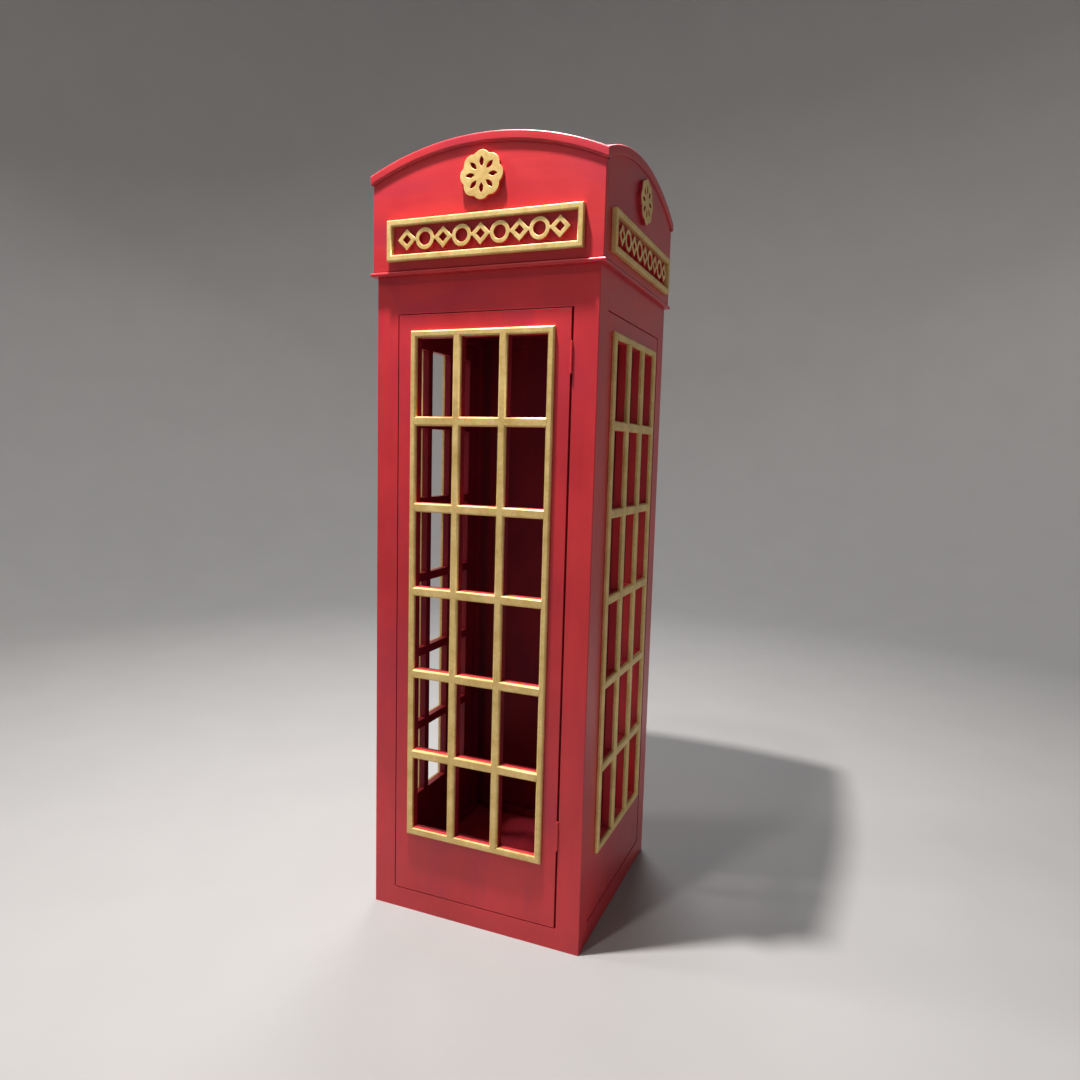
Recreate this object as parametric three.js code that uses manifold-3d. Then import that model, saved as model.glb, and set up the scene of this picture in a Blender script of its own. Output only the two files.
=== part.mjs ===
// A telephone booth of painted boards: posts and rails, two fixed window panels, a plain back, a hinged
// door, and a head with signs, emblems and a domed roof. Millimetres, +Z up, the door faces -Y, and the
// origin is on the ground at the middle of the footprint. Each side is drawn as the front one and turned
// about Z into place.
import * as THREE from "three";
import { mergeVertices } from "three/addons/utils/BufferGeometryUtils.js";
import Module from "manifold-3d";

const wasm = await Module();
wasm.setup();

// Driving dimensions
const HALF = 360; // half the width, and half the depth, of the body
const BODY_TOP = 2020;
const BOARD = 24; // thickness of the posts, rails and door
const GAP = 0.3; // between two pieces that meet
const POST_FACE = 75; // how much of each side a corner post covers
const BOTTOM_RAIL_TOP = 66;
const TOP_RAIL_BOTTOM = 1907;
const REVEAL = 2.5; // shadow gap round the door and the fixed panels
const PANEL_RECESS = 1; // the fixed panels lie this far behind the posts
const BATTEN = { width: 30, depth: 18, lap: 15 };

const WINDOW = { width: 468, bottom: 264, top: 1856, columns: 3, rows: 6 };
const TRIM = { width: 20, proud: 12, chamfer: 4 }; // the gilt moulding on the face of the board
const MULLION = 25; // width of the upright bars
const TRANSOM = 27; // height of the level bars
const PANE_MARGIN = 1; // how far the board shows round each pane, inside the gilt bars

const FLOOR = { bearer: 30, bearerWidth: 60, bearerAt: 220, thickness: 18 };
const CEILING_THICKNESS = 12;

const HEAD_OUT = 10; // how far the fascia boards stand out of the body
const EAVES_OUT = 16; // how far the cornice and the arched mouldings do
const CORNICE = { height: 14, chamfer: 3 };
const FASCIA_THICKNESS = 18;
const ARCH = { tip: 2316, rise: 82, height: 28, depth: 36 };
const ROOF_THICKNESS = 12;
const ROOF_CELLS = 10;

const SIGN = { width: 626, bottom: 2060, top: 2178, border: 17, depth: 16, chamfer: 2 };
const ORNAMENT = { count: 9, pitch: 61, radius: 31, stroke: 12, link: 9, depth: 12 };
const EMBLEM = { centre: 2280, radius: 68, lobes: 8, dip: 7, rim: 11, hub: 22, leaf: 13, depth: 12 };

const HINGE_GAP = 6.5; // gap at the door's hinged edge
const HINGE = { height: 86, knuckles: 5, radius: 3.6, bore: 2.1, pin: 2, leaf: 2, reach: 22, proud: 2.5 };
const HINGE_HEIGHTS = { upper: 1767, lower: 362 };
const KNUCKLE_SIDES = 16;
const PIN_HEAD = { radius: 3.2, height: 2 };
const CATCH = { height: 1000, length: 50, width: 13, depth: 16, strike: 1.5, strikeLength: 40 };

// Straight steps that stand for each curve
const ARCH_STEPS = 20;
const FASCIA_STEPS = 12;
const RING_STEPS = 7;
const LEAF_STEPS = 4;
const LOBE_STEPS = 4;

// Worked out from the dimensions above
const OPENING = HALF - POST_FACE; // half the width of the opening in each side
const INNER = HALF - BOARD; // half the width of the cabin
const EAVES = HALF + EAVES_OUT;
const HEAD_FACE = HALF + HEAD_OUT;
const DOOR_LEFT = -OPENING + REVEAL;
const DOOR_RIGHT = OPENING - HINGE_GAP;
const DOOR_MIDDLE = (DOOR_LEFT + DOOR_RIGHT) / 2;
const PIN_X = OPENING - HINGE_GAP / 2;
const PIN_Y = -HALF - HINGE.proud;
const BATTEN_BOTTOM = BOTTOM_RAIL_TOP - BATTEN.lap;
const BATTEN_TOP = TOP_RAIL_BOTTOM + BATTEN.lap;
const ARCH_RADIUS = (EAVES ** 2 + ARCH.rise ** 2) / (2 * ARCH.rise);
const ARCH_CENTRE = ARCH.tip + ARCH.rise - ARCH_RADIUS;
const ROOF_HALF = EAVES - ARCH.depth;
const ROOF_RADIUS = Math.hypot(ARCH_RADIUS, ROOF_HALF);
const FASCIA_BOTTOM = BODY_TOP + CORNICE.height + 2 * GAP;

const QUARTER = Math.PI / 2;
const SIDES = { front: 0, right: QUARTER, back: 2 * QUARTER, left: 3 * QUARTER };
const CORNERS = { front_right: 0, back_right: QUARTER, back_left: 2 * QUARTER, front_left: 3 * QUARTER };

const finish = (color, roughness, metalness = 0) =>
  new THREE.MeshStandardMaterial({ color, roughness, metalness });
const redPaint = () => finish(0xa81c22, 0.42);
const innerPaint = () => finish(0x7c141a, 0.55);
const goldPaint = () => finish(0xc9a24e, 0.45, 0.25);
const paintedSteel = () => finish(0x96181e, 0.4, 0.3);
const bareSteel = () => finish(0x9a9a98, 0.35, 0.9);
const blackPlastic = () => finish(0x1c1c1e, 0.6);

// A closed geometry as a solid that can be cut and joined, and back again.
function toSolid(geometry) {
  const bare = geometry.clone();
  bare.deleteAttribute("normal");
  bare.deleteAttribute("uv");
  const merged = mergeVertices(bare, 1e-4);
  const vertProperties = merged.attributes.position.array;
  const triVerts = new Uint32Array(merged.index.array);
  return new wasm.Manifold(new wasm.Mesh({ numProp: 3, vertProperties, triVerts }));
}

function toGeometry(solid) {
  const { vertProperties, triVerts } = solid.getMesh();
  const geometry = new THREE.BufferGeometry();
  geometry.setAttribute("position", new THREE.BufferAttribute(vertProperties, 3));
  geometry.setIndex(new THREE.BufferAttribute(triVerts, 1));
  return geometry;
}

const join = (pieces) => toGeometry(pieces.map(toSolid).reduce((whole, next) => whole.add(next)));
const cut = (piece, tools) =>
  toGeometry(tools.map(toSolid).reduce((rest, tool) => rest.subtract(tool), toSolid(piece)));
const common = (piece, other) => toGeometry(toSolid(piece).intersect(toSolid(other)));

function box([x0, x1], [y0, y1], [z0, z1]) {
  const geometry = new THREE.BoxGeometry(x1 - x0, y1 - y0, z1 - z0);
  return geometry.translate((x0 + x1) / 2, (y0 + y1) / 2, (z0 + z1) / 2);
}

const polygon = (points) => new THREE.Shape(points.map(([x, y]) => new THREE.Vector2(x, y)));

// A shape drawn in plan, standing from z0 to z1.
function standing(shape, [z0, z1]) {
  return new THREE.ExtrudeGeometry(shape, { depth: z1 - z0, bevelEnabled: false }).translate(0, 0, z0);
}

// A shape drawn on a side, as X and Z, and thick from y0 to y1.
function upright(shape, [y0, y1], curveSegments) {
  const settings = { depth: y1 - y0, bevelEnabled: false, curveSegments };
  return new THREE.ExtrudeGeometry(shape, settings).rotateX(QUARTER).translate(0, y1, 0);
}

// A rectangular ring with mitred corners, lying in plan. Its section is a list of [inset, height] points,
// anticlockwise.
function mitredRing(halfWidth, halfLength, section) {
  const corners = [[-1, -1], [1, -1], [1, 1], [-1, 1]];
  const count = section.length;
  const positions = corners.flatMap(([sideX, sideY]) =>
    section.flatMap(([inset, height]) => [sideX * (halfWidth - inset), sideY * (halfLength - inset), height]),
  );
  const index = corners.flatMap((_, corner) => {
    const here = corner * count;
    const next = ((corner + 1) % corners.length) * count;
    return section.flatMap((_, i) => {
      const j = (i + 1) % count;
      return [here + i, next + j, next + i, here + i, here + j, next + j];
    });
  });
  const geometry = new THREE.BufferGeometry();
  geometry.setAttribute("position", new THREE.Float32BufferAttribute(positions, 3));
  geometry.setIndex(index);
  return geometry;
}

// The same ring standing on a side, centred at x and from z0 to z1, with its heights out from the face.
function ringOnFace(x, width, [z0, z1], face, section) {
  const ring = mitredRing(width / 2, (z1 - z0) / 2, section);
  return ring.rotateX(QUARTER).translate(x, -face, (z0 + z1) / 2);
}

// A straight moulding along Z on the body's front, with its two front edges chamfered.
function moulding(width, [z0, z1]) {
  const half = width / 2;
  const { proud, chamfer } = TRIM;
  const outline = [
    [-half, -GAP], [-half, -proud + chamfer], [-half + chamfer, -proud],
    [half - chamfer, -proud], [half, -proud + chamfer], [half, -GAP],
  ];
  return standing(polygon(outline), [z0, z1]);
}

function add(group, name, geometry, material) {
  const mesh = new THREE.Mesh(geometry, material);
  mesh.name = name;
  group.add(mesh);
}

// Body
const cornerPost = () => {
  const outline = [
    [OPENING, -HALF], [HALF, -HALF], [HALF, -OPENING], [INNER, -OPENING], [INNER, -INNER], [OPENING, -INNER],
  ];
  return standing(polygon(outline), [0, BODY_TOP]);
};

const rail = (heights) => box([-OPENING + GAP, OPENING - GAP], [-HALF, -INNER], heights);

// The lines of a window's bars: across from the window's own middle, and up from the ground. The first and
// the last lie under the moulding.
function windowGrid() {
  const half = WINDOW.width / 2 - TRIM.width;
  const low = WINDOW.bottom + TRIM.width;
  const high = WINDOW.top - TRIM.width;
  const across = (2 * half + MULLION) / WINDOW.columns;
  const up = (high - low + TRANSOM) / WINDOW.rows;
  const columns = Array.from({ length: WINDOW.columns + 1 }, (_, i) => -half - MULLION / 2 + i * across);
  const rows = Array.from({ length: WINDOW.rows + 1 }, (_, i) => low - TRANSOM / 2 + i * up);
  return { half, low, high, columns, rows };
}

function paneHoles(middle) {
  const { columns, rows } = windowGrid();
  const between = (places, width) =>
    places.slice(1).map((next, i) => [places[i] + width / 2 + PANE_MARGIN, next - width / 2 - PANE_MARGIN]);
  const through = [-HALF - 1, -INNER + 1];
  const holes = between(rows, TRANSOM).flatMap((heights) =>
    between(columns, MULLION).map((sides) => box(sides, through, heights)),
  );
  return holes.map((hole) => hole.translate(middle, 0, 0));
}

// A board that fills the opening in one side.
const board = (left, right, face) =>
  box([left, right], [-face, -INNER], [BOTTOM_RAIL_TOP + REVEAL, TOP_RAIL_BOTTOM - REVEAL]);

function battenFrame() {
  const { width, depth } = BATTEN;
  const front = -GAP;
  const section = [[0, front - depth], [width, front - depth], [width, front], [0, front]];
  const span = 2 * (OPENING + BATTEN.lap);
  return ringOnFace(0, span, [BATTEN_BOTTOM, BATTEN_TOP], INNER, section);
}

// The gilt moulding round a window. Swollen by grow, it is the tool that scribes the bars' ends to it.
function windowFrame(middle, face, grow = 0) {
  const { width, proud, chamfer } = TRIM;
  const slant = chamfer - grow * Math.tan(Math.PI / 8);
  const inner = width + grow;
  const crest = proud + grow;
  const section = [
    [0, GAP - 2 * grow], [inner, GAP - 2 * grow], [inner, crest - slant], [inner - slant, crest],
    [slant, crest], [0, crest - slant],
  ];
  return ringOnFace(middle, WINDOW.width, [WINDOW.bottom, WINDOW.top], face, section);
}

function glazingBars(middle, face) {
  const { half, low, high, columns, rows } = windowGrid();
  const lap = TRIM.chamfer;
  const uprights = columns.slice(1, -1).map((x) => {
    const upright = moulding(MULLION, [low - lap, high + lap]);
    return upright.translate(x, 0, 0);
  });
  const levels = rows.slice(1, -1).map((z) => {
    const level = moulding(TRANSOM, [-half - lap, half + lap]);
    return level.rotateY(QUARTER).translate(0, 0, z);
  });
  const bars = join([...uprights, ...levels]).translate(middle, -face, 0);
  return cut(bars, [windowFrame(middle, face, GAP)]);
}

function addSide(group, side) {
  add(group, `${side}_bottom_rail`, rail([0, BOTTOM_RAIL_TOP]), redPaint());
  add(group, `${side}_top_rail`, rail([TOP_RAIL_BOTTOM, BODY_TOP]), redPaint());
  add(group, side === "front" ? "door_stop_frame" : `${side}_batten_frame`, battenFrame(), innerPaint());
}

function addFixedPanel(group, side) {
  const face = HALF - PANEL_RECESS;
  const edge = OPENING - REVEAL;
  const holes = side === "back" ? [] : paneHoles(0);
  add(group, `${side}_panel`, cut(board(-edge, edge, face), holes), redPaint());
  if (side === "back") return;
  add(group, `${side}_window_frame`, windowFrame(0, face), goldPaint());
  add(group, `${side}_glazing_bars`, glazingBars(0, face), goldPaint());
}

function addFloorAndCeiling(group) {
  const span = [-INNER + GAP, INNER - GAP];
  for (const [name, y] of Object.entries({ front: -FLOOR.bearerAt, back: FLOOR.bearerAt })) {
    const depth = [y - FLOOR.bearerWidth / 2, y + FLOOR.bearerWidth / 2];
    add(group, `${name}_floor_bearer`, box(span, depth, [0, FLOOR.bearer - GAP]), innerPaint());
  }
  add(group, "floor_panel", box(span, span, [FLOOR.bearer, FLOOR.bearer + FLOOR.thickness]), innerPaint());
  const ceiling = [BATTEN_TOP + GAP, BATTEN_TOP + GAP + CEILING_THICKNESS];
  add(group, "ceiling_panel", box(span, span, ceiling), innerPaint());
}

// Head
function corniceRing() {
  const { height, chamfer } = CORNICE;
  const low = BODY_TOP + GAP;
  const top = low + height;
  const depth = EAVES - INNER;
  const section = [
    [chamfer, low], [depth, low], [depth, top], [chamfer, top], [0, top - chamfer], [0, low + chamfer],
  ];
  return mitredRing(EAVES, EAVES, section);
}

// The region under an arc about the roof's centre, down to the cornice.
function underArc(radius, half) {
  const lean = Math.asin(half / radius);
  const shape = new THREE.Shape();
  shape.moveTo(-half, FASCIA_BOTTOM);
  shape.lineTo(half, FASCIA_BOTTOM);
  shape.absarc(0, ARCH_CENTRE, radius, QUARTER - lean, QUARTER + lean, false);
  shape.closePath();
  return shape;
}

function fascia(half) {
  const depth = [-HEAD_FACE, -HEAD_FACE + FASCIA_THICKNESS];
  return upright(underArc(ARCH_RADIUS - ARCH.height - GAP, half), depth, FASCIA_STEPS);
}

// A length of arched moulding, mitred at both ends to the ones on the next sides.
function archMoulding() {
  const inner = ARCH_RADIUS - ARCH.height;
  const lean = Math.asin(EAVES / inner);
  const band = new THREE.Shape();
  band.absarc(0, ARCH_CENTRE, ARCH_RADIUS, QUARTER - lean, QUARTER + lean, false);
  band.absarc(0, ARCH_CENTRE, inner, QUARTER + lean, QUARTER - lean, true);
  band.closePath();
  const whole = upright(band, [-EAVES, -ROOF_HALF], ARCH_STEPS);
  const [outerEnd, innerEnd] = [EAVES - GAP, ROOF_HALF - GAP];
  const corners = [[-outerEnd, -EAVES], [outerEnd, -EAVES], [innerEnd, -ROOF_HALF], [-innerEnd, -ROOF_HALF]];
  return common(whole, standing(polygon(corners), [ARCH_CENTRE, ARCH_CENTRE + 2 * ARCH_RADIUS]));
}

// A shell that springs from the inner edges of the four mouldings.
function roofShell() {
  const span = 2 * (ROOF_HALF - GAP);
  const shell = new THREE.BoxGeometry(span, span, ROOF_THICKNESS, ROOF_CELLS, ROOF_CELLS, 1);
  const place = shell.attributes.position;
  for (let i = 0; i < place.count; i += 1) {
    const reach = Math.hypot(place.getX(i), place.getY(i));
    const rise = ARCH_CENTRE + Math.sqrt(ROOF_RADIUS ** 2 - reach ** 2) - ROOF_THICKNESS / 2;
    place.setZ(i, place.getZ(i) + rise);
  }
  return shell;
}

function signFrame() {
  const { border, depth, chamfer } = SIGN;
  const section = [
    [0, GAP], [border, GAP], [border, depth - chamfer],
    [border - chamfer, depth], [chamfer, depth], [0, depth - chamfer],
  ];
  return ringOnFace(0, SIGN.width, [SIGN.bottom, SIGN.top], HEAD_FACE, section);
}

const circle = (radius) => new THREE.Shape().absarc(0, 0, radius, 0, 4 * QUARTER, false);
const diamond = (reach) => polygon([[reach, 0], [0, reach], [-reach, 0], [0, -reach]]);

function open(outer, inner) {
  outer.holes.push(inner);
  return outer;
}

// A raised chain of open rings and open diamonds, held together by a bar through their middles.
function signOrnament() {
  const { count, pitch, radius, stroke, link, depth } = ORNAMENT;
  const thickness = [-HEAD_FACE - depth, -HEAD_FACE - GAP];
  const middle = (SIGN.bottom + SIGN.top) / 2;
  const reach = ((count - 1) / 2) * pitch;
  const links = [];
  const shapes = [];
  for (let i = 0; i < count; i += 1) {
    const x = i * pitch - reach;
    const ring = open(circle(radius), circle(radius - stroke));
    const lozenge = open(diamond(radius), diamond(radius - stroke * Math.SQRT2));
    shapes.push(upright(i % 2 ? ring : lozenge, thickness, RING_STEPS).translate(x, 0, 0));
    if (i < count - 1) {
      const edge = radius - stroke / 2;
      links.push(box([x + edge, x + pitch - edge], thickness, [-link / 2, link / 2]));
    }
  }
  return join([...shapes, ...links]).translate(0, 0, middle);
}

// A raised rosette with a lobed edge and a ring of leaf-shaped openings.
function emblem() {
  const { radius, lobes, dip, rim, hub, leaf, depth, centre } = EMBLEM;
  const steps = lobes * LOBE_STEPS;
  const edge = Array.from({ length: steps }, (_, i) => {
    const turn = (i / steps) * 4 * QUARTER;
    const reach = radius - dip + dip * Math.abs(Math.cos((turn * lobes) / 2));
    return [reach * Math.cos(turn), reach * Math.sin(turn)];
  });
  const shape = polygon(edge);
  const tip = radius - dip - rim;
  for (let i = 0; i < lobes; i += 1) {
    const turn = (i / lobes) * 4 * QUARTER;
    const at = (reach, aside) => [
      reach * Math.cos(turn) - aside * Math.sin(turn),
      reach * Math.sin(turn) + aside * Math.cos(turn),
    ];
    const opening = new THREE.Path().moveTo(...at(hub, 0));
    opening.quadraticCurveTo(...at((hub + tip) / 2, leaf), ...at(tip, 0));
    opening.quadraticCurveTo(...at((hub + tip) / 2, -leaf), ...at(hub, 0));
    shape.holes.push(opening);
  }
  return upright(shape, [-HEAD_FACE - depth, -HEAD_FACE - GAP], LEAF_STEPS).translate(0, 0, centre);
}

function addHead(group, side) {
  const lengthwise = side === "front" || side === "back";
  const half = lengthwise ? HEAD_FACE : HEAD_FACE - FASCIA_THICKNESS - GAP;
  add(group, `${side}_fascia`, fascia(half), redPaint());
  add(group, `${side}_arch_moulding`, archMoulding(), redPaint());
  add(group, `${side}_sign_frame`, signFrame(), goldPaint());
  add(group, `${side}_sign_ornament`, signOrnament(), goldPaint());
  add(group, `${side}_emblem`, emblem(), goldPaint());
}

// Door
function knuckle(z0, z1) {
  const { radius, bore } = HINGE;
  const section = [[bore, z0], [radius, z0], [radius, z1], [bore, z1], [bore, z0]];
  const tube = new THREE.LatheGeometry(section.map(([r, z]) => new THREE.Vector2(r, z)), KNUCKLE_SIDES);
  return tube.rotateX(QUARTER).translate(PIN_X, PIN_Y, 0);
}

// One leaf of a butt hinge, beside the pin, with every second knuckle. side is 1 on the post, -1 on the door.
function hingeLeaf(side, centre) {
  const { height, knuckles, radius, bore, leaf, reach } = HINGE;
  const far = PIN_X + side * (HINGE_GAP / 2 - GAP);
  const near = far - side * leaf;
  const sides = [Math.min(near, far), Math.max(near, far)];
  const low = centre - height / 2;
  const step = height / knuckles;
  const clear = PIN_Y + radius + 1;
  const parts = [box(sides, [clear, -HALF + reach], [low, low + height])];
  for (let i = side > 0 ? 0 : 1; i < knuckles; i += 2) {
    const span = [low + i * step + GAP / 2, low + (i + 1) * step - GAP / 2];
    parts.push(box(sides, [PIN_Y + bore, clear + 1], span));
    parts.push(knuckle(...span));
  }
  return join(parts);
}

function hingePin(centre) {
  const { height, pin } = HINGE;
  const end = height / 2 + GAP;
  const upper = [[pin, end], [PIN_HEAD.radius, end], [PIN_HEAD.radius, end + PIN_HEAD.height]];
  const lower = upper.map(([r, z]) => [r, -z]).reverse();
  const section = [[0, -end - PIN_HEAD.height], ...lower, ...upper, [0, end + PIN_HEAD.height]];
  const profile = section.map(([r, z]) => new THREE.Vector2(r, z));
  return new THREE.LatheGeometry(profile, KNUCKLE_SIDES).rotateX(QUARTER).translate(PIN_X, PIN_Y, centre);
}

function addDoor(group) {
  add(group, "door_leaf", cut(board(DOOR_LEFT, DOOR_RIGHT, HALF), paneHoles(DOOR_MIDDLE)), redPaint());
  add(group, "door_window_frame", windowFrame(DOOR_MIDDLE, HALF), goldPaint());
  add(group, "door_glazing_bars", glazingBars(DOOR_MIDDLE, HALF), goldPaint());
  for (const [place, centre] of Object.entries(HINGE_HEIGHTS)) {
    add(group, `${place}_hinge_frame_leaf`, hingeLeaf(1, centre), paintedSteel());
    add(group, `${place}_hinge_door_leaf`, hingeLeaf(-1, centre), paintedSteel());
    add(group, `${place}_hinge_pin`, hingePin(centre), paintedSteel());
  }
  addCatch(group);
}

// A magnetic catch on the edge of the door stop, and its plate on the door's back.
function addCatch(group) {
  const { height, length, width, depth, strike, strikeLength } = CATCH;
  const stop = -OPENING - BATTEN.lap + BATTEN.width;
  const sides = [stop + GAP, stop + GAP + width];
  const front = -INNER + 2 * GAP + strike;
  const span = (size) => [height - size / 2, height + size / 2];
  add(group, "magnetic_catch", box(sides, [front, front + depth], span(length)), blackPlastic());
  add(group, "catch_strike_plate", box(sides, [-INNER + GAP, front - GAP], span(strikeLength)), bareSteel());
}

const group = new THREE.Group();
for (const [corner, turn] of Object.entries(CORNERS)) {
  const geometry = cornerPost().rotateZ(turn);
  add(group, `${corner}_post`, geometry, redPaint());
}
for (const [side, turn] of Object.entries(SIDES)) {
  const wall = new THREE.Group();
  wall.rotation.z = turn;
  group.add(wall);
  addSide(wall, side);
  if (side !== "front") addFixedPanel(wall, side);
  addHead(wall, side);
}
addFloorAndCeiling(group);
add(group, "cornice", corniceRing(), redPaint());
add(group, "roof_shell", roofShell(), redPaint());
addDoor(group);

export default group;
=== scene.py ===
import math

import bmesh
import bpy
from mathutils import Matrix, Vector


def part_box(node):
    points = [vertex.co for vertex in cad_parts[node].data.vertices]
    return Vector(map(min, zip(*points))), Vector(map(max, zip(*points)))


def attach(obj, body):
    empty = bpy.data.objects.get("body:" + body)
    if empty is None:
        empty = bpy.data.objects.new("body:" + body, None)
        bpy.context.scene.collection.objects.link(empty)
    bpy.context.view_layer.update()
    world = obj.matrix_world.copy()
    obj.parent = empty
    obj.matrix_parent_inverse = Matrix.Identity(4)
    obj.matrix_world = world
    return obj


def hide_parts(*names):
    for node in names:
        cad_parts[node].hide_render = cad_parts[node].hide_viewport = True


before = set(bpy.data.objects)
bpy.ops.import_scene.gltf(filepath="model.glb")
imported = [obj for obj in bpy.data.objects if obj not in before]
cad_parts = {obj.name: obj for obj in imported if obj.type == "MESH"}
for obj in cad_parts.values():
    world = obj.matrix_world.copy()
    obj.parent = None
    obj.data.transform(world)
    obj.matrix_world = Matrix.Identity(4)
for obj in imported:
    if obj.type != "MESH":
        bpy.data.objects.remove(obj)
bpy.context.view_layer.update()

MM = 0.001

# The four sides, and how far each is turned about Z from the front, in degrees.
SIDES = {"front": 0, "right": 90, "back": 180, "left": 270}
WINDOW_SIDES = ("front", "right", "left")

BOARD_ROUNDING = 1.4 * MM
CORNER_ROUNDING = 3.0 * MM
SEAM_ROUNDING = 0.12 * MM  # where two boards are filled and painted over
HOLE_ROUNDING = 1.0 * MM
GILT_ROUNDING = 1.0 * MM
SHARP_ANGLE = math.radians(20)
SMOOTH_ANGLE = math.radians(35)
FLAT_ANGLE = math.radians(0.5)
SHARED_CORNER, SHARED_OUTLINE = 0.001 * MM, 0.005 * MM  # points this close are one point

TRIM_WIDTH = 20 * MM
MULLION = 25 * MM
TRANSOM = 27 * MM
PANE_MARGIN = 1 * MM
COLUMNS, ROWS = 3, 6

ORNAMENT_COUNT = 9
ORNAMENT_STROKE = 12 * MM
ORNAMENT_LINK = 9 * MM
EMBLEM_LOBES = 8
EMBLEM_DIP = 7 * MM
EMBLEM_RIM = 11 * MM
EMBLEM_HUB = 22 * MM
EMBLEM_LEAF = 13 * MM
RELIEF_ROUNDING = 1.2 * MM
CIRCLE_STEPS, LINKED_ARC_STEPS, LOBE_STEPS, LEAF_STEPS = 40, 28, 12, 8

JOINT_GAP = 0.3 * MM
CORNICE_DEPTH = 40 * MM
CORNICE_BEAD = 6 * MM
CORNICE_SHELF = 8 * MM  # how far in the bead's flat top reaches, under the fascia boards
CORNICE_STEP = 2 * MM  # how high the ring rises behind it
CORNICE_FOOT = [(0, 3 * MM), (1 * MM, 1.2 * MM), (3 * MM, 0)]
ARCH_HEIGHT = 28 * MM
ARCH_EDGE = 4 * MM
# The arched moulding's lip: how far above its lower edge, and how far behind its face
ARCH_LIP = [(0, 3 * MM), (0.8 * MM, 2.2 * MM), (4 * MM, 2 * MM), (5 * MM, 0.6 * MM), (6.5 * MM, 0)]
ROOF_THICKNESS = 12 * MM
ARCH_STEPS, ROOF_STEPS, BEAD_STEPS, ARCH_EDGE_STEPS = 48, 40, 6, 5

HINGE_SCREWS = (-30 * MM, 0, 30 * MM)  # above and below the leaf's middle
HINGE_SCREW_EDGE = 9 * MM  # from the leaf's inner edge
STRIKE_SCREWS = (-12 * MM, 12 * MM)
HINGE_SCREW_RADIUS, STRIKE_SCREW_RADIUS = 3.4 * MM, 2.6 * MM
HINGE_ROUNDING, CATCH_ROUNDING, STRIKE_ROUNDING = 0.25 * MM, 0.8 * MM, 0.3 * MM
SCREW_DEPTH, SCREW_PROUD, SCREW_RECESS = 1.2 * MM, 0.12 * MM, 0.3 * MM
SCREW_FOOT, SCREW_CROWN = 0.6, 0.94  # shares of the head's radius
CROSS_ARM, CROSS_HALF = 0.62, 0.16  # the recess's reach and half its arms' width, as shares too
SCREW_STEPS = 24
POLE = Vector((1.6, 6, 38)) * MM  # a pole plate of the catch
POLE_ASIDE = 3 * MM  # from the catch's middle

STUDIO_RADIUS, SWEEP_RADIUS, STUDIO_HEIGHT = 5.0, 3.0, 11.0
STUDIO_MIDDLE = 2.0  # radius of the floor's inner ring
SWEEP_STEPS, STUDIO_SIDES = 12, 64

# Each lamp's direction and distance from what it lights, then its width, watts, target and colour
LAMPS = {
    "key": ((-0.34, -1, 1.8), 9.0, 0.6, 182, (0, -0.36, 1.9), (1.0, 0.96, 0.93)),
    "overhead": ((-0.10, -0.15, 1), 2.7, 0.14, 305, (0, -0.36, 1.9), (1.0, 0.96, 0.94)),
    "left fill": ((-1, -0.3, 1.1), 6.0, 0.8, 88, (0, 0, 0.6), (1.0, 0.97, 0.95)),
    "back fill": ((-0.35, 1, 1.3), 6.0, 2.5, 190, (0, 0, 1.2), (0.95, 0.97, 1.0)),
}
SKY_COLOUR, SKY_STRENGTH = (0.95, 0.97, 1.0), 0.06

# The camera's place in metres, its turns in radians, and its lens and sensor in millimetres
CAMERA_PLACE = (1.0686, -2.4722, 1.4999)
CAMERA_YAW, CAMERA_PITCH, CAMERA_ROLL = 0.3899, 0.1098, -0.0266
CAMERA_LENS, CAMERA_SENSOR = 26.34, 36.0


# Where things are, read from the frame ------------------------------------------------------------

def as_front(node, side):
    """A node's box, turned back to the front side."""
    turn = Matrix.Rotation(-math.radians(SIDES[side]), 3, "Z")
    a, b = (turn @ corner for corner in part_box(node))
    return Vector(map(min, a, b)), Vector(map(max, a, b))


def body_of_side(side):
    return "door" if side == "front" else "booth"


def panel_name(side):
    return "door_leaf" if side == "front" else f"{side}_panel"


def window_name(side, part):
    return f"door_{part}" if side == "front" else f"{side}_{part}"


# Mesh building ------------------------------------------------------------------------------------

def bridge(bm, a, b):
    """The faces between two closed loops of points. Returns them."""
    return {bm.faces.new((a[i - 1], a[i], b[i], b[i - 1])) for i in range(len(a))}


def prism(points, low, high, axis="Z"):
    """A polygon extruded along an axis: Z takes [x, y] points and Y takes [x, z] points."""
    bm = bmesh.new()
    place = (lambda a, b, c: (a, b, c)) if axis == "Z" else (lambda a, b, c: (a, c, b))
    rings = [[bm.verts.new(place(a, b, c)) for a, b in points] for c in (low, high)]
    bm.faces.new(rings[0])
    bm.faces.new(rings[1])
    bridge(bm, *rings)
    return bm


def block(low, high):
    corners = [(low.x, low.y), (high.x, low.y), (high.x, high.y), (low.x, high.y)]
    return prism(corners, low.z, high.z)


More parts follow.
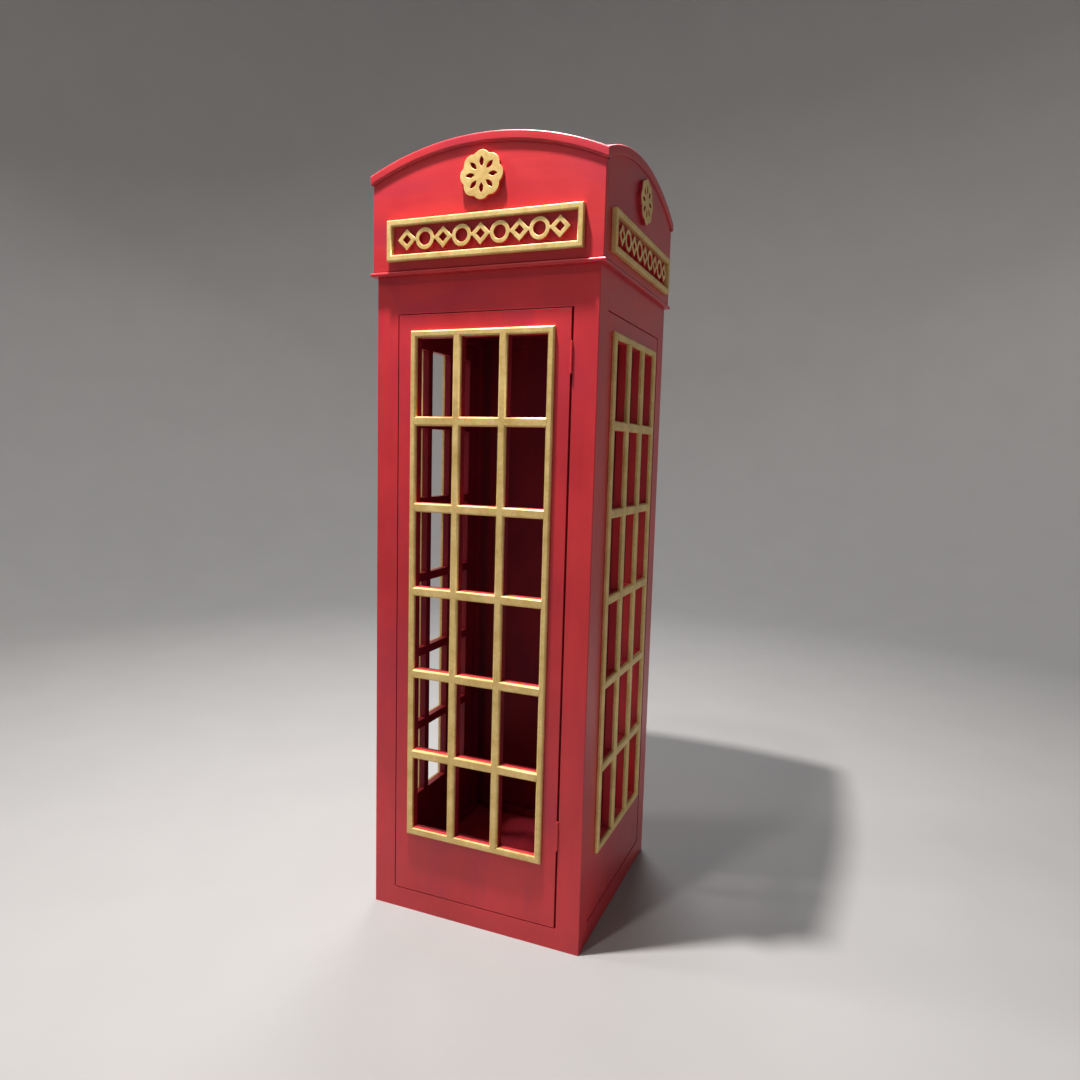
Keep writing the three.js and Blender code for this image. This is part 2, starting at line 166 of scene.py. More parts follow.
def pierced_board(xs, zs, y0, y1):
    """A board on a grid of lines, with a hole in every second cell each way."""
    bm = bmesh.new()
    vert = {(i, j, k): bm.verts.new((x, y, z)) for i, x in enumerate(xs) for k, z in enumerate(zs)
            for j, y in enumerate((y0, y1))}
    columns, rows = range(len(xs) - 1), range(len(zs) - 1)
    solid = lambda i, k: i in columns and k in rows and not (i % 2 and k % 2)
    for i in columns:
        for k in rows:
            if not solid(i, k):
                continue
            for j in (0, 1):
                corners = ((i, j, k), (i + 1, j, k), (i + 1, j, k + 1), (i, j, k + 1))
                bm.faces.new([vert[c] for c in corners])
            walls = {(-1, 0): ((i, k), (i, k + 1)), (1, 0): ((i + 1, k), (i + 1, k + 1)),
                     (0, -1): ((i, k), (i + 1, k)), (0, 1): ((i, k + 1), (i + 1, k + 1))}
            for (di, dk), (a, b) in walls.items():
                if not solid(i + di, k + dk):
                    corners = ((a[0], 0, a[1]), (b[0], 0, b[1]), (b[0], 1, b[1]), (a[0], 1, a[1]))
                    bm.faces.new([vert[c] for c in corners])
    return bm


def quarter_round(radius, steps):
    """A quarter circle's points, from its crown round to its side."""
    turns = [math.pi / 2 * i / steps for i in range(steps + 1)]
    return [(radius * math.sin(turn), radius * math.cos(turn)) for turn in turns]


def node_copy(node):
    """A CAD node's mesh with its shared corners joined and its flat faces whole."""
    bm = bmesh.new()
    bm.from_mesh(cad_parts[node].data)
    bmesh.ops.remove_doubles(bm, verts=bm.verts, dist=SHARED_CORNER)
    bmesh.ops.dissolve_limit(bm, angle_limit=FLAT_ANGLE, verts=bm.verts, edges=bm.edges)
    return bm


def round_edges(bm, width, chosen=lambda middle, along: True, segments=3):
    """Rounds the outward edges that chosen picks by their middle and direction."""
    bmesh.ops.recalc_face_normals(bm, faces=bm.faces)
    edges = []
    for edge in bm.edges:
        if len(edge.link_faces) != 2 or edge.calc_face_angle_signed() < SHARP_ANGLE:
            continue
        a, b = (v.co for v in edge.verts)
        if chosen((a + b) / 2, (b - a).normalized()):
            edges.append(edge)
    bmesh.ops.bevel(bm, geom=edges, offset=width, segments=segments, profile=0.5, affect="EDGES",
                    clamp_overlap=True)


def piece(name, bm, material, body, node, side="front", second=None):
    """Makes an object of a mesh drawn on the front, turned to its side, in place of a node.
    second is another material and the test of a face that takes it."""
    bmesh.ops.recalc_face_normals(bm, faces=bm.faces)
    if second:
        for face in bm.faces:
            face.material_index = int(second[1](face))
    bm.transform(Matrix.Rotation(math.radians(SIDES[side]), 4, "Z"))
    mesh = bpy.data.meshes.new(name)
    bm.to_mesh(mesh)
    bm.free()
    mesh.shade_smooth()
    mesh.set_sharp_from_angle(angle=SMOOTH_ANGLE)
    mesh.materials.append(material)
    if second:
        mesh.materials.append(second[0])
    made = bpy.data.objects.new(name, mesh)
    bpy.context.scene.collection.objects.link(made)
    flat_faces = made.modifiers.new("flat faces", "WEIGHTED_NORMAL")
    flat_faces.weight = 100
    flat_faces.keep_sharp = True
    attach(made, body)
    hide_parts(node)


# Materials ----------------------------------------------------------------------------------------

class Shader:
    """A node material being built. Values that are sockets are linked, and others are set."""

    def __init__(self, name):
        self.material = bpy.data.materials.new(name)
        self.material.use_nodes = True
        self.tree = self.material.node_tree
        self.tree.nodes.clear()
        self.place = self.node("TexCoord").outputs["Object"]

    def node(self, kind, values=None, **settings):
        made = self.tree.nodes.new("ShaderNode" + kind)
        for key, value in settings.items():
            setattr(made, key, value)
        for key, value in (values or {}).items():
            if isinstance(value, bpy.types.NodeSocket):
                self.tree.links.new(value, made.inputs[key])
            else:
                made.inputs[key].default_value = value
        return made

    def noise(self, scale, detail=3.0, stretch=(1, 1, 1), roughness=0.5, shift=(0, 0, 0)):
        values = {"Vector": self.place, "Scale": stretch, "Location": shift}
        place = self.node("Mapping", values).outputs[0]
        values = {"Vector": place, "Scale": scale, "Detail": detail, "Roughness": roughness}
        return self.node("TexNoise", values).outputs["Fac"]

    def spread(self, value, low, high, to_low=0.0, to_high=1.0):
        values = {"Value": value, "From Min": low, "From Max": high, "To Min": to_low, "To Max": to_high}
        return self.node("MapRange", values, clamp=True).outputs[0]

    def maths(self, operation, a, b=0.0):
        return self.node("Math", {0: a, 1: b}, operation=operation).outputs[0]

    def mix(self, share, a, b):
        made = self.node("Mix", data_type="RGBA")
        for socket, value in ((made.inputs[0], share), (made.inputs[6], a), (made.inputs[7], b)):
            if isinstance(value, bpy.types.NodeSocket):
                self.tree.links.new(value, socket)
            else:
                socket.default_value = value if isinstance(value, float) else (*value, 1.0)
        return made.outputs[2]

    def edges(self, radius):
        """1 on outward and inward edges, and 0 on open faces."""
        rounded = self.node("Bevel", {"Radius": radius}, samples=4).outputs[0]
        normal = self.node("NewGeometry").outputs["Normal"]
        aligned = self.node("VectorMath", {0: rounded, 1: normal}, operation="DOT_PRODUCT")
        return self.spread(aligned.outputs["Value"], 0.995, 0.85)

    def upward(self):
        normal = self.node("NewGeometry").outputs["Normal"]
        height = self.node("SeparateXYZ", {0: normal}).outputs["Z"]
        return self.spread(height, 0.6, 0.95)

    def height(self):
        return self.node("SeparateXYZ", {0: self.place}).outputs["Z"]

    def bumps(self, *layers):
        """Layers of [height, depth in metres] as one normal."""
        normal = None
        for height, depth in layers:
            values = {"Height": height, "Distance": depth, "Strength": 1.0}
            if normal is not None:
                values["Normal"] = normal
            normal = self.node("Bump", values).outputs[0]
        return normal

    def finish(self, **values):
        values = {key.replace("_", " "): value for key, value in values.items()}
        surface = self.node("BsdfPrincipled", values)
        self.tree.links.new(surface.outputs[0], self.node("OutputMaterial").inputs[0])
        return self.material


# How noise is stretched along a board's grain
STRETCH = {"X": (0.03, 1, 1), "Y": (1, 0.03, 1), "Z": (1, 1, 0.03)}
STREAKS = {"X": (0.3, 1, 1), "Y": (1, 0.3, 1), "Z": (1, 1, 0.3)}


def painted_board(name, grain, deep, bright, gloss, seed, shine=0.5):
    """Satin paint brushed along a board: soft mottling, cooler and warmer streaks, worn arrises, a little
    dust, and scuffs near the ground."""
    s = Shader(name)
    shift = (seed, 2.3 * seed, 0.7 * seed)
    clouds = s.noise(4.0, 5)
    patches = s.noise(1.3, 2)
    bands = s.noise(18, 3, STRETCH[grain], 0.5, shift)
    brush = s.noise(150, 5, STRETCH[grain], 0.6, shift)
    peel = s.noise(480, 2)
    broad = s.maths("ADD", s.maths("MULTIPLY", clouds, 0.45), s.maths("MULTIPLY", patches, 0.30))
    fine = s.maths("ADD", s.maths("MULTIPLY", bands, 0.15), s.maths("MULTIPLY", brush, 0.10))
    tone = s.maths("ADD", broad, fine)
    colour = s.mix(s.spread(tone, 0.38, 0.62), deep, bright)
    streaks = s.noise(7, 4, STREAKS[grain], 0.55, shift)
    cool = (0.88 * deep[0], 0.9 * deep[1], 1.9 * deep[2])
    warm = (1.06 * bright[0], 1.3 * bright[1], 0.8 * bright[2])
    colour = s.mix(s.spread(streaks, 0.5, 0.36, 0.0, 0.5), colour, cool)
    colour = s.mix(s.spread(streaks, 0.54, 0.68, 0.0, 0.5), colour, warm)
    arris = s.maths("MULTIPLY", s.edges(2.0 * MM), s.spread(s.noise(38, 4), 0.42, 0.7))
    worn = tuple(min(1.0, 0.85 * c + 0.07) for c in bright)
    colour = s.mix(s.maths("MULTIPLY", arris, 0.45), colour, worn)
    dust = s.maths("MULTIPLY", s.upward(), s.spread(s.noise(70, 6), 0.35, 0.7, 0.02, 0.10))
    colour = s.mix(dust, colour, (0.48, 0.30, 0.26))
    marks = s.spread(s.noise(120, 6, (1, 1, 2.5), 0.65), 0.52, 0.70)
    scuffs = s.maths("MULTIPLY", s.spread(s.height(), 0.14, 0.0), marks)
    colour = s.mix(s.maths("MULTIPLY", scuffs, 0.40), colour, tuple(0.45 * c + 0.010 for c in deep))
    rough = s.spread(tone, 0.35, 0.65, gloss - 0.04, gloss + 0.08)
    rough = s.maths("ADD", rough, s.maths("MULTIPLY", dust, 0.4))
    rough = s.maths("ADD", rough, s.maths("MULTIPLY", scuffs, 0.15))
    normal = s.bumps((clouds, 1.1 * MM), (bands, 0.22 * MM), (brush, 0.07 * MM), (peel, 0.02 * MM))
    return s.finish(Base_Color=colour, Roughness=rough, Normal=normal, Specular_IOR_Level=shine,
                    Coat_Weight=0.2 * shine, Coat_Roughness=0.3)


def gilt(name):
    """Gold paint dabbed on wood: soft mottling, fine flakes, and thin spots along the arrises."""
    s = Shader(name)
    dabs = s.noise(90, 5, roughness=0.6)
    clouds = s.noise(14, 4)
    flakes = s.noise(1400, 1)
    tone = s.maths("ADD", s.maths("MULTIPLY", clouds, 0.6), s.maths("MULTIPLY", dabs, 0.4))
    colour = s.mix(s.spread(tone, 0.36, 0.64), (0.62, 0.41, 0.125), (0.84, 0.62, 0.25))
    colour = s.mix(s.spread(flakes, 0.6, 0.78, 0.0, 0.35), colour, (0.95, 0.80, 0.46))
    arris = s.maths("MULTIPLY", s.edges(1.2 * MM), s.spread(s.noise(60, 4), 0.55, 0.75))
    colour = s.mix(s.maths("MULTIPLY", arris, 0.5), colour, (0.30, 0.12, 0.05))
    rough = s.spread(tone, 0.3, 0.7, 0.36, 0.52)
    normal = s.bumps((clouds, 0.5 * MM), (dabs, 0.10 * MM), (flakes, 0.015 * MM))
    return s.finish(Base_Color=colour, Roughness=rough, Metallic=0.25, Normal=normal)


def metal(name, colour, roughness, scale):
    """Plain plated steel with fine rub marks."""
    s = Shader(name)
    marks = s.noise(scale, 4, (1, 1, 0.2))
    tone = s.mix(s.spread(marks, 0.35, 0.65), tuple(0.75 * c for c in colour), colour)
    rough = s.spread(marks, 0.3, 0.7, roughness, roughness + 0.2)
    return s.finish(Base_Color=tone, Roughness=rough, Metallic=1.0, Normal=s.bumps((marks, 0.03 * MM)))


def moulded_plastic(name, colour):
    s = Shader(name)
    grain = s.noise(900, 3)
    tone = s.mix(grain, tuple(0.8 * c for c in colour), tuple(1.3 * c for c in colour))
    rough = s.spread(grain, 0.3, 0.7, 0.45, 0.6)
    return s.finish(Base_Color=tone, Roughness=rough, Normal=s.bumps((grain, 0.05 * MM)))


# Each paint's colour ranges from deep to bright.
RED_DEEP, RED_BRIGHT = (0.46, 0.017, 0.024), (0.62, 0.027, 0.038)
# The shaded paint is a darker copy of the red: painted shade for the inside of the cabin.
SHADED_DEEP, SHADED_BRIGHT = (0.18, 0.004, 0.013), (0.28, 0.007, 0.020)
# The floor's paint is brighter than the outer red: painted light for the lit floor of the cabin.
LIT_FLOOR_DEEP, LIT_FLOOR_BRIGHT = (0.50, 0.016, 0.034), (0.66, 0.026, 0.050)
red = {grain: painted_board(f"red paint along {grain}", grain, RED_DEEP, RED_BRIGHT, 0.36, seed)
       for seed, grain in enumerate("XYZ", 1)}
# Darker copies of the red paint, one per grain: painted shade on the faces inside the booth.
shaded = {grain: painted_board(f"inner red paint along {grain}", grain, SHADED_DEEP, SHADED_BRIGHT, 0.5, seed,
                              0.2)
         for seed, grain in enumerate("XYZ", 5)}
# A brighter red for the cabin floor: painted light.
lit_floor_paint = painted_board("floor paint", "Y", LIT_FLOOR_DEEP, LIT_FLOOR_BRIGHT, 0.45, 8, 0.3)
gold = gilt("gold paint")
hinge_paint = painted_board("red paint on steel", "Z", RED_DEEP, RED_BRIGHT, 0.3, 9)
plated_steel = metal("plated steel", (0.60, 0.60, 0.58), 0.28, 260)
black_plastic = moulded_plastic("black plastic", (0.020, 0.020, 0.022))


def faces_in(face):
    """Whether a face of a piece drawn on the front looks into the booth."""
    return face.normal.y > 0.9


def level_grain(side):
    return "X" if side in ("front", "back") else "Y"


# Body ---------------------------------------------------------------------------------------------

def add_posts():
    for name in ("front_right", "back_right", "back_left", "front_left"):
        node = f"{name}_post"
        bm = node_copy(node)
        low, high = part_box(node)
        outer = Vector((high.x if high.x > -low.x else low.x, high.y if high.y > -low.y else low.y, 0))

        def upright_edge(nearest, furthest):
            return lambda middle, along: (
                abs(along.z) > 0.9 and nearest <= (middle - outer).to_2d().length < furthest)

        round_edges(bm, CORNER_ROUNDING, upright_edge(0, MM), 4)
        round_edges(bm, SEAM_ROUNDING, upright_edge(10 * MM, math.inf), 2)
        outward = outer.normalized()
        # Faces that look into the booth take the darker shaded paint: painted shade.
        within = lambda face: face.normal.dot(outward) < -0.5
        piece(f"painted_{node}", bm, red["Z"], "booth", node, second=[shaded["Z"], within])


def add_rails():
    close_joint = Vector((JOINT_GAP, 0, 0))
    for side in SIDES:
        for level in ("bottom", "top"):
            node = f"{side}_{level}_rail"
            low, high = as_front(node, side)
            bm = block(low - close_joint, high + close_joint)
            round_edges(bm, SEAM_ROUNDING, lambda m, a: abs(a.z) > 0.9, 1)
            grain = level_grain(side)
            # Faces that look into the booth take the darker shaded paint: painted shade.
            second = [shaded[grain], faces_in]
            piece(f"painted_{node}", bm, red[grain], "booth", node, side, second)


def window_lines(side):
    """The edges of the panel and of its panes, across and up."""
    low, high = as_front(panel_name(side), side)
    inner_low, inner_high = as_front(window_name(side, "window_frame"), side)

    def lines(start, end, first, last, bar, count):
        pane = (end - start - 2 * TRIM_WIDTH - (count - 1) * bar) / count
        edges = [first]
        for i in range(count):
            at = start + TRIM_WIDTH + i * (pane + bar)
            edges += [at + PANE_MARGIN, at + pane - PANE_MARGIN]
        return edges + [last]

    across = lines(inner_low.x, inner_high.x, low.x, high.x, MULLION, COLUMNS)
    up = lines(inner_low.z, inner_high.z, low.z, high.z, TRANSOM, ROWS)
    return across, up, low, high


def add_window_panels():
    for side in WINDOW_SIDES:
        across, up, low, high = window_lines(side)
        bm = pierced_board(across, up, low.y, high.y)

        def within(point, margin):
            return (low.x + margin < point.x < high.x - margin
                    and low.z + margin < point.z < high.z - margin)

        round_edges(bm, BOARD_ROUNDING, lambda m, a: not within(m, 0.1 * MM))
        round_edges(bm, HOLE_ROUNDING, lambda m, a: within(m, TRIM_WIDTH), 2)

        def in_shade(face):
            reveal = abs(face.normal.x) > 0.9 and within(face.calc_center_median(), MM)
            return faces_in(face) or (reveal and side != "right")

        node = panel_name(side)
        second = [shaded["Z"], in_shade]
        piece(f"painted_{node}", bm, red["Z"], body_of_side(side), node, side, second)


def add_back_panel():
    bm = block(*as_front("back_panel", "back"))
    round_edges(bm, BOARD_ROUNDING)
    # The face inside the booth takes the darker shaded paint: painted shade.
    second = [shaded["Z"], faces_in]
    piece("painted_back_panel", bm, red["Z"], "booth", "back_panel", "back", second)


def add_battens():
    for side in SIDES:
        node = "door_stop_frame" if side == "front" else f"{side}_batten_frame"
        bm = node_copy(node)
        round_edges(bm, BOARD_ROUNDING)
        # The battens inside the booth take the darker shaded paint all over: painted shade.
        piece(f"painted_{node}", bm, shaded["Z"], "booth", node)


def add_windows():
    for side in WINDOW_SIDES:
        for part in ("window_frame", "glazing_bars"):
            node = window_name(side, part)
            bm = node_copy(node)
            round_edges(bm, GILT_ROUNDING, segments=2)
            piece(f"gilt_{node}", bm, gold, body_of_side(side), node)


def add_floor_and_ceiling():
    # The ceiling and bearers take the darker shaded paint (painted shade), and the floor the brighter
    # paint (painted light).
    boards = {"floor_panel": lit_floor_paint, "ceiling_panel": shaded["X"], "front_floor_bearer": shaded["X"],
              "back_floor_bearer": shaded["X"]}
    for node, paint in boards.items():
        bm = block(*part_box(node))
        round_edges(bm, BOARD_ROUNDING, segments=2)
        piece(f"painted_{node}", bm, paint, "booth", node)


# Head ---------------------------------------------------------------------------------------------

def arch():
    """The radius of the roof's edge and the height of its centre."""
    low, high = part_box("front_arch_moulding")
    ends = [v.co.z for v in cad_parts["front_arch_moulding"].data.vertices
            if v.co.x > high.x - 0.2 * MM]
    rise = high.z - max(ends)
    radius = (high.x ** 2 + rise ** 2) / (2 * rise)
    return radius, high.z - radius


def add_cornice():
    low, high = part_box("cornice")
    height = high.z - low.z
    crown = height - CORNICE_STEP
    section = [(CORNICE_DEPTH, 0), (CORNICE_DEPTH, height)]
    section += [(CORNICE_SHELF + MM, height), (CORNICE_SHELF, crown)]
    section += [(CORNICE_BEAD - a, crown - CORNICE_BEAD + b)
                for a, b in quarter_round(CORNICE_BEAD, BEAD_STEPS)]
    section += CORNICE_FOOT
    bm = bmesh.new()
    rings = []
    for sx, sy in ((-1, -1), (1, -1), (1, 1), (-1, 1)):
        rings.append([bm.verts.new((sx * (high.x - inset), sy * (high.y - inset), low.z + up))
                      for inset, up in section])
    for i in range(len(rings)):
        bridge(bm, rings[i - 1], rings[i])
    piece("painted_cornice", bm, red["X"], "booth", "cornice")


def add_fascias():
    radius, centre = arch()
    under = radius - ARCH_HEIGHT - JOINT_GAP
    for side in SIDES:
        node = f"{side}_fascia"
        low, high = as_front(node, side)
        points = [(low.x, low.z), (high.x, low.z)]
        lean = math.asin(high.x / under)
        for i in range(ARCH_STEPS + 1):
            angle = lean - 2 * lean * i / ARCH_STEPS
            points.append((under * math.sin(angle), centre + under * math.cos(angle)))
        bm = prism(points, low.y, high.y, "Y")
        round_edges(bm, CORNER_ROUNDING, lambda m, a: abs(a.z) > 0.9 and m.y < low.y + MM, 4)
        piece(f"painted_{node}", bm, red[level_grain(side)], "booth", node, side)


def add_arch_mouldings():
    """Each moulding is swept along the arc, and every line of its section ends on the diagonal mitre."""
    radius, centre = arch()
    eaves, inner_face = (-corner.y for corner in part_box("front_arch_moulding"))
    foot = radius - ARCH_HEIGHT
    section = [(radius, inner_face), (foot, inner_face)]
    section += [(foot + up, eaves - back) for up, back in ARCH_LIP]
    section += [(radius - ARCH_EDGE + a, eaves - ARCH_EDGE + b)
                for a, b in quarter_round(ARCH_EDGE, ARCH_EDGE_STEPS)]
    for side in SIDES:
        bm = bmesh.new()
        rows = []
        for i in range(ARCH_STEPS + 1):
            share = 1 - 2 * i / ARCH_STEPS
            row = []
            for r, out in section:
                lean = share * math.asin((out - JOINT_GAP) / r)
                row.append(bm.verts.new((r * math.sin(lean), -out, centre + r * math.cos(lean))))
            rows.append(row)
        for a, b in zip(rows, rows[1:]):
            bridge(bm, a, b)
        bm.faces.new(rows[0])
        bm.faces.new(rows[-1])
        node = f"{side}_arch_moulding"
        piece(f"painted_{node}", bm, red[level_grain(side)], "booth", node, side)


def add_roof():
    centre = arch()[1]
    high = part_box("roof_shell")[1]
    half = high.x
    dome = high.z - centre
    bm = bmesh.new()
    grid = {}
    for layer in (0, 1):
        for i in range(ROOF_STEPS + 1):
            for j in range(ROOF_STEPS + 1):
                x, y = (half * (2 * n / ROOF_STEPS - 1) for n in (i, j))
                z = centre + math.sqrt(dome ** 2 - x * x - y * y) - layer * ROOF_THICKNESS
                grid[i, j, layer] = bm.verts.new((x, y, z))
    steps = range(ROOF_STEPS)
    for i in steps:
        for j in steps:
            for layer in (0, 1):
                bm.faces.new([grid[i + a, j + b, layer] for a, b in ((0, 0), (1, 0), (1, 1), (0, 1))])
        for k in (0, ROOF_STEPS):
            bm.faces.new((grid[i, k, 0], grid[i + 1, k, 0], grid[i + 1, k, 1], grid[i, k, 1]))
            bm.faces.new((grid[k, i, 0], grid[k, i + 1, 0], grid[k, i + 1, 1], grid[k, i, 1]))
    piece("painted_roof_shell", bm, red["X"], "booth", "roof_shell")


def add_sign_frames():
    for side in SIDES:
        node = f"{side}_sign_frame"
        bm = node_copy(node)
        round_edges(bm, GILT_ROUNDING, segments=2)
        piece(f"gilt_{node}", bm, gold, "booth", node)


def relief(outlines, node, side):
    """A flat raised shape with rounded edges, from closed outlines of [x, z] points."""
    low, high = as_front(node, side)
    thickness = high.y - low.y
    curve = bpy.data.curves.new(node, "CURVE")
    curve.dimensions = "2D"
    curve.fill_mode = "BOTH"
    curve.extrude = thickness / 2 - RELIEF_ROUNDING
    curve.bevel_depth = RELIEF_ROUNDING
    curve.bevel_resolution = 2
    curve.offset = -RELIEF_ROUNDING
    for points in outlines:
        spline = curve.splines.new("POLY")
        spline.points.add(len(points) - 1)
        for point, (x, z) in zip(spline.points, points):
            point.co = (x, z, 0, 1)
        spline.use_cyclic_u = True
    shape = bpy.data.objects.new(node, curve)
    bm = bmesh.new()
    bm.from_mesh(shape.to_mesh())
    shape.to_mesh_clear()
    bpy.data.objects.remove(shape)
    bmesh.ops.remove_doubles(bm, verts=bm.verts, dist=SHARED_OUTLINE)
    centre = Vector((0, (low.y + high.y) / 2, (low.z + high.z) / 2))
    bm.transform(Matrix.Translation(centre) @ Matrix.Rotation(math.pi / 2, 4, "X"))
    sawn_edge = lambda face: abs(face.normal.y) < 0.3
    second = [red[level_grain(side)], sawn_edge]
    piece(f"gilt_{node}", bm, gold, "booth", node, side, second)


def circle(x, radius, start=0.0, end=2 * math.pi, steps=CIRCLE_STEPS):
    return [(x + radius * math.cos(start + (end - start) * i / steps),
             radius * math.sin(start + (end - start) * i / steps)) for i in range(steps)]


def diamond(x, reach):
    return [(x + reach, 0), (x, reach), (x - reach, 0), (x, -reach)]


def add_sign_ornaments():
    low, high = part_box("front_sign_ornament")
    radius = (high.z - low.z) / 2
    pitch = (high.x - low.x - 2 * radius) / (ORNAMENT_COUNT - 1)
    link = ORNAMENT_LINK / 2
    lean = math.asin(link / radius)
    upper, holes = [], []
    for i in range(ORNAMENT_COUNT):
        x = (i - (ORNAMENT_COUNT - 1) / 2) * pitch
        if i % 2:
            upper += circle(x, radius, math.pi - lean, lean, LINKED_ARC_STEPS)
            upper.append((x + radius * math.cos(lean), link))
            holes.append(circle(x, radius - ORNAMENT_STROKE))
        else:
            upper.append((x - radius + link, link) if i else (x - radius, 0))
            upper.append((x, radius))
            upper.append((x + radius - link, link) if i < ORNAMENT_COUNT - 1 else (x + radius, 0))
            holes.append(diamond(x, radius - ORNAMENT_STROKE * math.sqrt(2)))
    lower = [(x, -z) for x, z in reversed(upper) if z > 0]
    for side in SIDES:
        relief([upper + lower, *holes], f"{side}_sign_ornament", side)


def add_emblems():
    low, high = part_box("front_emblem")
    radius = (high.z - low.z) / 2
    steps = EMBLEM_LOBES * LOBE_STEPS
    rim = []
    for i in range(steps):
        turn = 2 * math.pi * i / steps
        reach = radius - EMBLEM_DIP * (1 - abs(math.cos(turn * EMBLEM_LOBES / 2)))
        rim.append((reach * math.cos(turn), reach * math.sin(turn)))
    tip = radius - EMBLEM_DIP - EMBLEM_RIM
    leaves = []
    for lobe in range(EMBLEM_LOBES):
        turn = 2 * math.pi * lobe / EMBLEM_LOBES
        along = Vector((math.cos(turn), math.sin(turn)))
        aside = Vector((-math.sin(turn), math.cos(turn)))
        leaf = []
        for side_of_leaf, (a, b) in ((1, (EMBLEM_HUB, tip)), (-1, (tip, EMBLEM_HUB))):
            for i in range(LEAF_STEPS):
                t = i / LEAF_STEPS
                reach = a + (b - a) * t
                width = side_of_leaf * EMBLEM_LEAF * 2 * t * (1 - t)
                leaf.append(tuple(along * reach + aside * width))
        leaves.append(leaf)
    for side in SIDES:
        relief([rim, *leaves], f"{side}_emblem", side)


# Door furniture -----------------------------------------------------------------------------------

def screw_head(bm, place, outward, radius):
    """Adds a countersunk head, hardly proud of the face, with a crossed recess. Returns its faces."""
    turn = Matrix.Translation(place) @ Vector(outward).to_track_quat("Z", "Y").to_matrix().to_4x4()
    arm, half = CROSS_ARM * radius, CROSS_HALF * radius
    cross = [(arm, half), (half, half), (half, arm), (-half, arm), (-half, half), (-arm, half),
             (-arm, -half), (-half, -half), (-half, -arm), (half, -arm), (half, -half), (arm, -half)]
    rim = circle(0, radius, steps=SCREW_STEPS)

    def ring(points, height, scale=1.0):
        return [bm.verts.new(turn @ Vector((x * scale, y * scale, height))) for x, y in points]

    foot, shoulder = ring(rim, -SCREW_DEPTH, SCREW_FOOT), ring(rim, 0)
    crown = ring(rim, SCREW_PROUD, SCREW_CROWN)
    lip, bed = ring(cross, SCREW_PROUD), ring(cross, SCREW_PROUD - SCREW_RECESS)
    faces = {bm.faces.new(foot), bm.faces.new(bed)}
    faces |= bridge(bm, foot, shoulder) | bridge(bm, shoulder, crown) | bridge(bm, lip, bed)
    edges = [bm.edges.get((loop[i - 1], loop[i])) for loop in (crown, lip) for i in range(len(loop))]
    filled = bmesh.ops.triangle_fill(bm, edges=edges, use_beauty=True, use_dissolve=False)
    return faces | {f for f in filled["geom"] if isinstance(f, bmesh.types.BMFace)}


def add_hinges():
    for node in sorted(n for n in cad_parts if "_hinge_" in n):
        bm = node_copy(node)
        round_edges(bm, HINGE_ROUNDING, segments=1)
        low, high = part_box(node)
        on_door = "door_leaf" in node
        screws = set()
        if not node.endswith("pin"):
            plate = [v.co.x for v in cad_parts[node].data.vertices if v.co.y > high.y - 0.1 * MM]
            face, towards = (max(plate), 1) if on_door else (min(plate), -1)
            for rise in HINGE_SCREWS:
                place = Vector((face, high.y - HINGE_SCREW_EDGE, (low.z + high.z) / 2 + rise))
                screws |= screw_head(bm, place, (towards, 0, 0), HINGE_SCREW_RADIUS)
        body = "door" if on_door else "booth"
        second = [plated_steel, lambda face: face in screws]
        piece(f"painted_{node}", bm, hinge_paint, body, node, second=second)


def add_catch():
    low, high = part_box("magnetic_catch")
    middle = (low + high) / 2
    bm = node_copy("magnetic_catch")
    round_edges(bm, CATCH_ROUNDING)
    poles = set()
    for aside in (-POLE_ASIDE, POLE_ASIDE):
        place = Matrix.Translation((middle.x + aside, low.y + POLE.y / 2 - SCREW_PROUD, middle.z))
        size = Matrix.Diagonal((*POLE, 1))
        corners = bmesh.ops.create_cube(bm, size=1, matrix=place @ size)["verts"]
        poles |= {face for corner in corners for face in corner.link_faces}
    second = [plated_steel, lambda face: face in poles]
    piece("moulded_magnetic_catch", bm, black_plastic, "booth", "magnetic_catch",
          second=second)


def add_catch_strike():
    low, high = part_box("catch_strike_plate")
    middle = (low + high) / 2
    bm = node_copy("catch_strike_plate")
    round_edges(bm, STRIKE_ROUNDING)
    for rise in STRIKE_SCREWS:
        screw_head(bm, Vector((middle.x, high.y, middle.z + rise)), (0, 1, 0), STRIKE_SCREW_RADIUS)
    piece("plated_catch_strike", bm, plated_steel, "door", "catch_strike_plate")


# Stage --------------------------------------------------------------------------------------------

